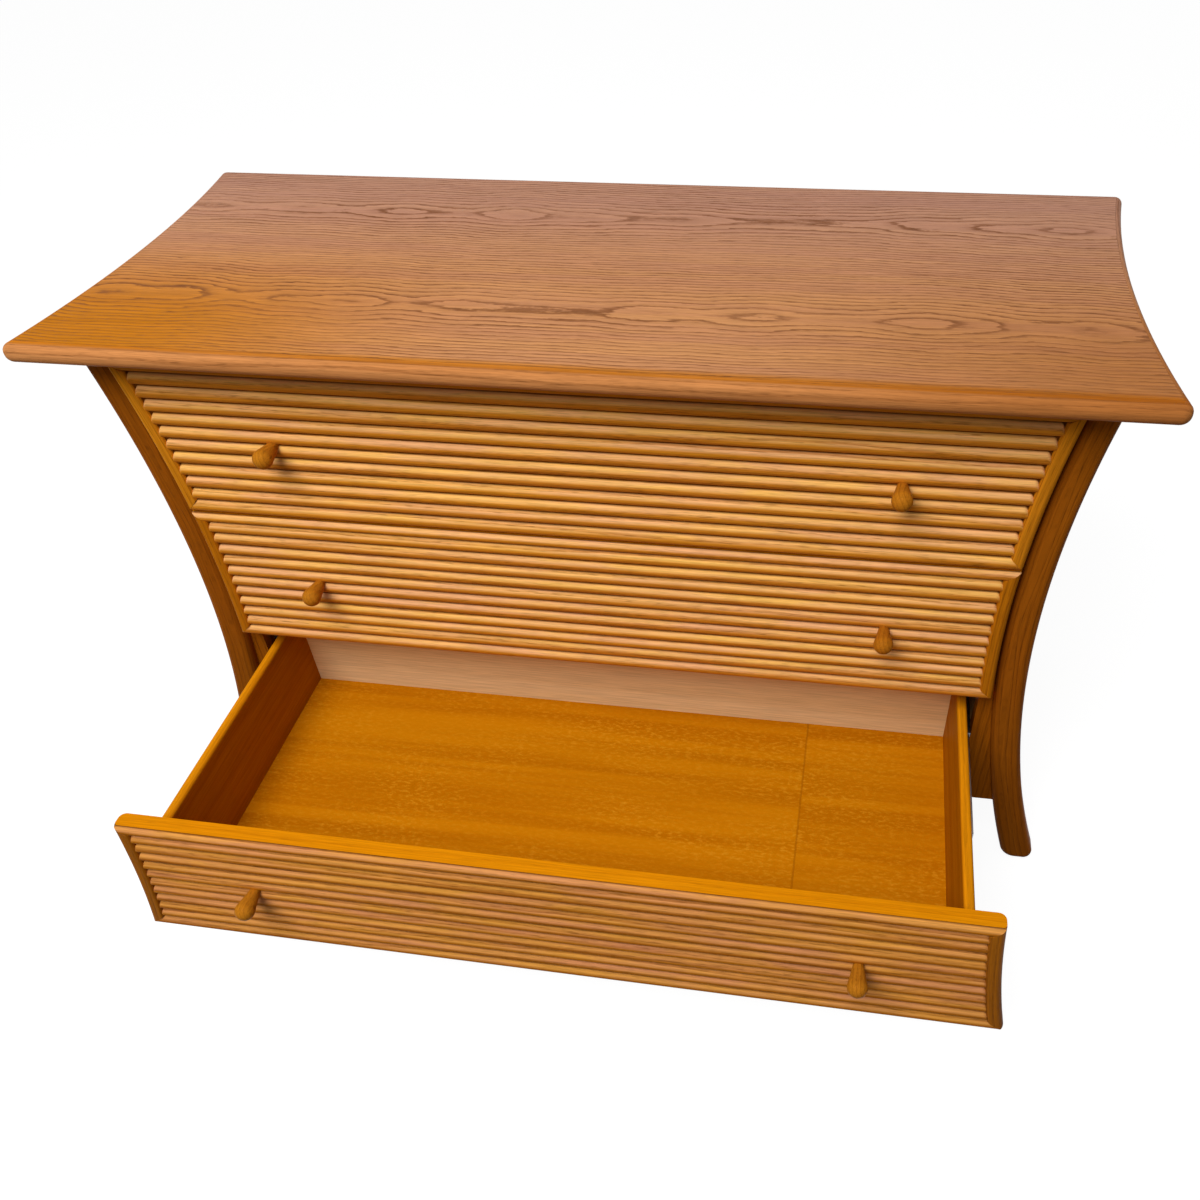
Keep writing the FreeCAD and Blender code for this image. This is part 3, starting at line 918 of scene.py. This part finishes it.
def border_reed(z_outer, z_inner):
    """The reed along the upper or the lower edge, mitred at both ends."""
    outer_x = bow_x(inner_bow, front_leg_gap, z_outer) - mitre_gap / 2
    inner_x = bow_x(inner_bow, front_leg_gap + strip_width, z_inner) - mitre_gap / 2
    right = []
    for z, y in reed_section(*sorted((z_outer, z_inner))):
        share = (z - z_outer) / (z_inner - z_outer)
        rounded = corner_inset(z - z_outer) if z_outer < z_inner else 0.0
        right.append((outer_x + share * (inner_x - outer_x) - rounded, y, z))
    return ring_form([[(-x, y, z) for x, y, z in right], right])


def strip_section():
    """The round of an end strip: how far in from its outer edge, and the depth. At its outer side
    it wraps round the end of the board."""
    steps = quarter_round(1.0)
    end_y = board_front_y + board_front_radius
    outer_depth = end_y - crest_y
    inner_depth = board_front_y - crest_y
    outside = [(strip_outer_round * inset, crest_y + outer_depth * depth)
               for inset, depth in reversed(steps)]
    inside = [(strip_width - strip_inner_round * inset, crest_y + inner_depth * depth)
              for inset, depth in steps]
    return outside + inside + [(board_front_radius, board_front_y), (board_front_radius, end_y)]


def end_strip(z_low):
    """The bowed strip that closes the reeds at the right."""
    rings = []
    for along in spread(0.0, 1.0, bow_steps):
        ring = []
        for inset, y in strip_section():
            share = inset / strip_width
            low = z_low + share * lower_border + mitre_gap
            high = z_low + front_height - share * upper_border - mitre_gap
            z = low + along ** strip_row_power * (high - low)
            offset = front_leg_gap + inset + corner_inset(z - z_low)
            ring.append((bow_x(inner_bow, offset, z), y, z))
        rings.append(ring)
    return ring_form(rings)


def knob(z_low):
    """A turned knob: a straight taper that swells into a ball."""
    ball_y = crest_y - knob_length + knob_ball_radius
    span = math.hypot(crest_y - ball_y, knob_base_radius)
    slope = math.atan2(knob_base_radius, crest_y - ball_y) + math.acos(knob_ball_radius / span)
    touch_radius = knob_ball_radius * math.sin(slope)
    touch_y = ball_y + knob_ball_radius * math.cos(slope)
    taper = (touch_radius - knob_base_radius) / (crest_y - touch_y)
    profile = [(knob_base_radius - taper * (board_front_y - crest_y), board_front_y)]
    profile += [(knob_ball_radius * math.sin(angle), ball_y + knob_ball_radius * math.cos(angle))
                for angle in spread(slope, math.pi - knob_tip_angle, knob_steps)]
    z_middle = z_low + front_height - knob_drop
    turns = spread(0.0, 2 * math.pi, knob_sides)[:-1]
    return ring_form([[(knob_x + radius * math.cos(turn), y, z_middle + radius * math.sin(turn))
                       for turn in turns] for radius, y in profile])


def drawer_front(name, z_low, pulled):
    """The board, its reeds, the strips at their ends and the two knobs. The lowest drawer has a
    darker, browner copy of the reed wood, and the strips darken from drawer to drawer, both as
    painted shade."""
    reed_wood = oak_reed_shaded_low if name == drawer_names[-1] else oak_reed
    z_high = z_low + front_height
    first = z_low + lower_border
    pitch = (front_height - upper_border - lower_border) / reed_count
    bars = [border_reed(z_low, first), border_reed(z_high, z_high - upper_border)]
    bars += [inner_reed(low, low + pitch)
             for low in [first + number * pitch for number in range(reed_count)]]
    piece(name + "_board", [board(z_low)], grain_along_x, [oak_board, oak_gap_shade], name,
          [name + "_front_board"], pulled, board_edge_bevel,
          facing=Vector((0.0, -1.0, 0.0)))
    piece(name + "_reed_bars", bars, grain_along_x, [reed_wood], name, [name + "_reeds"],
          pulled, depth=reed_depth)
    strip_wood = oak_strips_shaded_by_drawer[drawer_names.index(name)]
    piece(name + "_strips", pair(end_strip(z_low)), grain_along(inner_bow, True), [strip_wood],
          name, [name + "_end_strips"], pulled, depth=reed_depth)
    piece(name + "_turned_knobs", pair(knob(z_low)), grain_along_y, [oak_knob], name,
          [name + "_knobs"], pulled)


# Drawer boxes

def wall_ring(near, far, low, high):
    """The section of a wall with its two upper edges rounded."""
    steps = quarter_round(box_edge_radius, box_edge_steps)
    far_round = [(far - inset, high - depth) for inset, depth in reversed(steps)]
    near_round = [(near + inset, high - depth) for inset, depth in steps]
    return [(near, low), (far, low)] + far_round + near_round


def drawer_box(name, z_low, pulled):
    """The sides and the back of a drawer."""
    low = z_low + box_rise
    high = low + box_height
    side_ring = wall_ring(box_inner_x, box_x, low, high)
    right = ring_form([in_front_view(side_ring, y) for y in (board_back_y, box_back_y)])
    for side, form in each_side(right):
        piece(name + "_" + side + "_wall", [form], grain_along_y, [side_wood], name,
              [name + "_" + side + "_side"], pulled)
    back_ring = wall_ring(box_back_y - box_wall, box_back_y, low, high)
    back = ring_form([[(x, y, z) for y, z in back_ring] for x in (-box_inner_x, box_inner_x)])
    piece(name + "_rear_wall", [back], grain_along_x, [back_wood], name, [name + "_back"],
          pulled)


# What keeps the solids' shape

def dress(cad_node, material):
    """Gives a solid that stays its material."""
    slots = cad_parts[cad_node].data.materials
    slots.clear()
    slots.append(material)


def dress_solids():
    """Materials for the rails, the stiles, the back, the cleats, the slides and the bottoms."""
    for cad_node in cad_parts:
        if cad_node.endswith(("slides", "extensions")):
            dress(cad_node, slide_zinc)
        elif cad_node.endswith("_rail"):
            dress(cad_node, inner_across)
        elif cad_node.endswith("_stile"):
            dress(cad_node, leg_upright)
        elif cad_node.endswith("_cleats"):
            dress(cad_node, inner_deep)
        elif cad_node.endswith("_bottom"):
            dress(cad_node, bottom_veneer)
    dress("back_panel", inner_back)


# Camera, light and floor

def photograph_camera():
    """A camera where the photograph's was."""
    data = bpy.data.cameras.new("camera")
    data.lens = camera_lens
    data.sensor_width = camera_sensor
    data.shift_x, data.shift_y = camera_shift
    camera = linked("camera", data)
    turn = Euler([math.radians(angle) for angle in camera_turn])
    camera.matrix_world = Matrix.Translation(camera_place) @ turn.to_matrix().to_4x4()
    bpy.context.scene.camera = camera


def key_lamp():
    """A soft square lamp that looks at the chest."""
    data = bpy.data.lights.new("key", "AREA")
    data.shape = "SQUARE"
    data.size = lamp_size
    data.energy = lamp_power
    turn = (Vector(lamp_aim) - Vector(lamp_place)).to_track_quat("-Z", "Y")
    linked("key", data).matrix_world = Matrix.Translation(lamp_place) @ turn.to_matrix().to_4x4()


def seen_plainly(tree):
    """One for a ray from the camera, a glossy surface or a clear one, and zero for others."""
    path = node(tree, "ShaderNodeLightPath").outputs
    glossy = maths(tree, "MAXIMUM", path["Is Camera Ray"], path["Is Glossy Ray"])
    return maths(tree, "MAXIMUM", glossy, path["Is Transmission Ray"])


def white_world():
    """A surround that looks white and lights the chest less than that."""
    world = bpy.data.worlds.new("surround")
    world.use_nodes = True
    tree = world.node_tree
    shining = tree.nodes["Background"]
    strength = ranged(tree, seen_plainly(tree), 0.0, 1.0, surround_level, 1.0)
    tree.links.new(strength, shining.inputs["Strength"])
    shining.inputs["Color"].default_value = (1.0, 1.0, 1.0, 1.0)
    bpy.context.scene.world = world


def matt(tree, level):
    """A dull grey shader."""
    return node(tree, "ShaderNodeBsdfDiffuse", {"Color": (level, level, level, 1.0)}).outputs[0]


def pale_floor():
    """A floor that looks white and keeps a soft shadow of the chest."""
    corners = [(-floor_reach, -floor_reach, 0.0), (floor_reach, -floor_reach, 0.0),
               (floor_reach, floor_reach, 0.0), (-floor_reach, floor_reach, 0.0)]
    floor = mesh_object("floor", corners, [(0, 1, 2, 3)])
    material = new_material("pale_floor")
    tree = material.node_tree
    glow = node(tree, "ShaderNodeEmission", {"Strength": floor_glow}).outputs[0]
    seen = node(tree, "ShaderNodeAddShader", {0: matt(tree, floor_seen_tone), 1: glow}).outputs[0]
    both = node(tree, "ShaderNodeMixShader",
                {0: seen_plainly(tree), 1: matt(tree, floor_tone), 2: seen})
    tree.links.new(both.outputs[0], tree.nodes["Material Output"].inputs[0])
    floor.data.materials.append(material)


dress_solids()
top_pieces()
legs_and_sides()
for drawer, bottom_z in zip(drawer_names, front_bottoms):
    pulled_out = opening if drawer == "lower_drawer" else 0.0
    drawer_front(drawer, bottom_z, pulled_out)
    drawer_box(drawer, bottom_z, pulled_out)
photograph_camera()
key_lamp()
white_world()
pale_floor()
bpy.context.scene.view_settings.view_transform = "Standard"
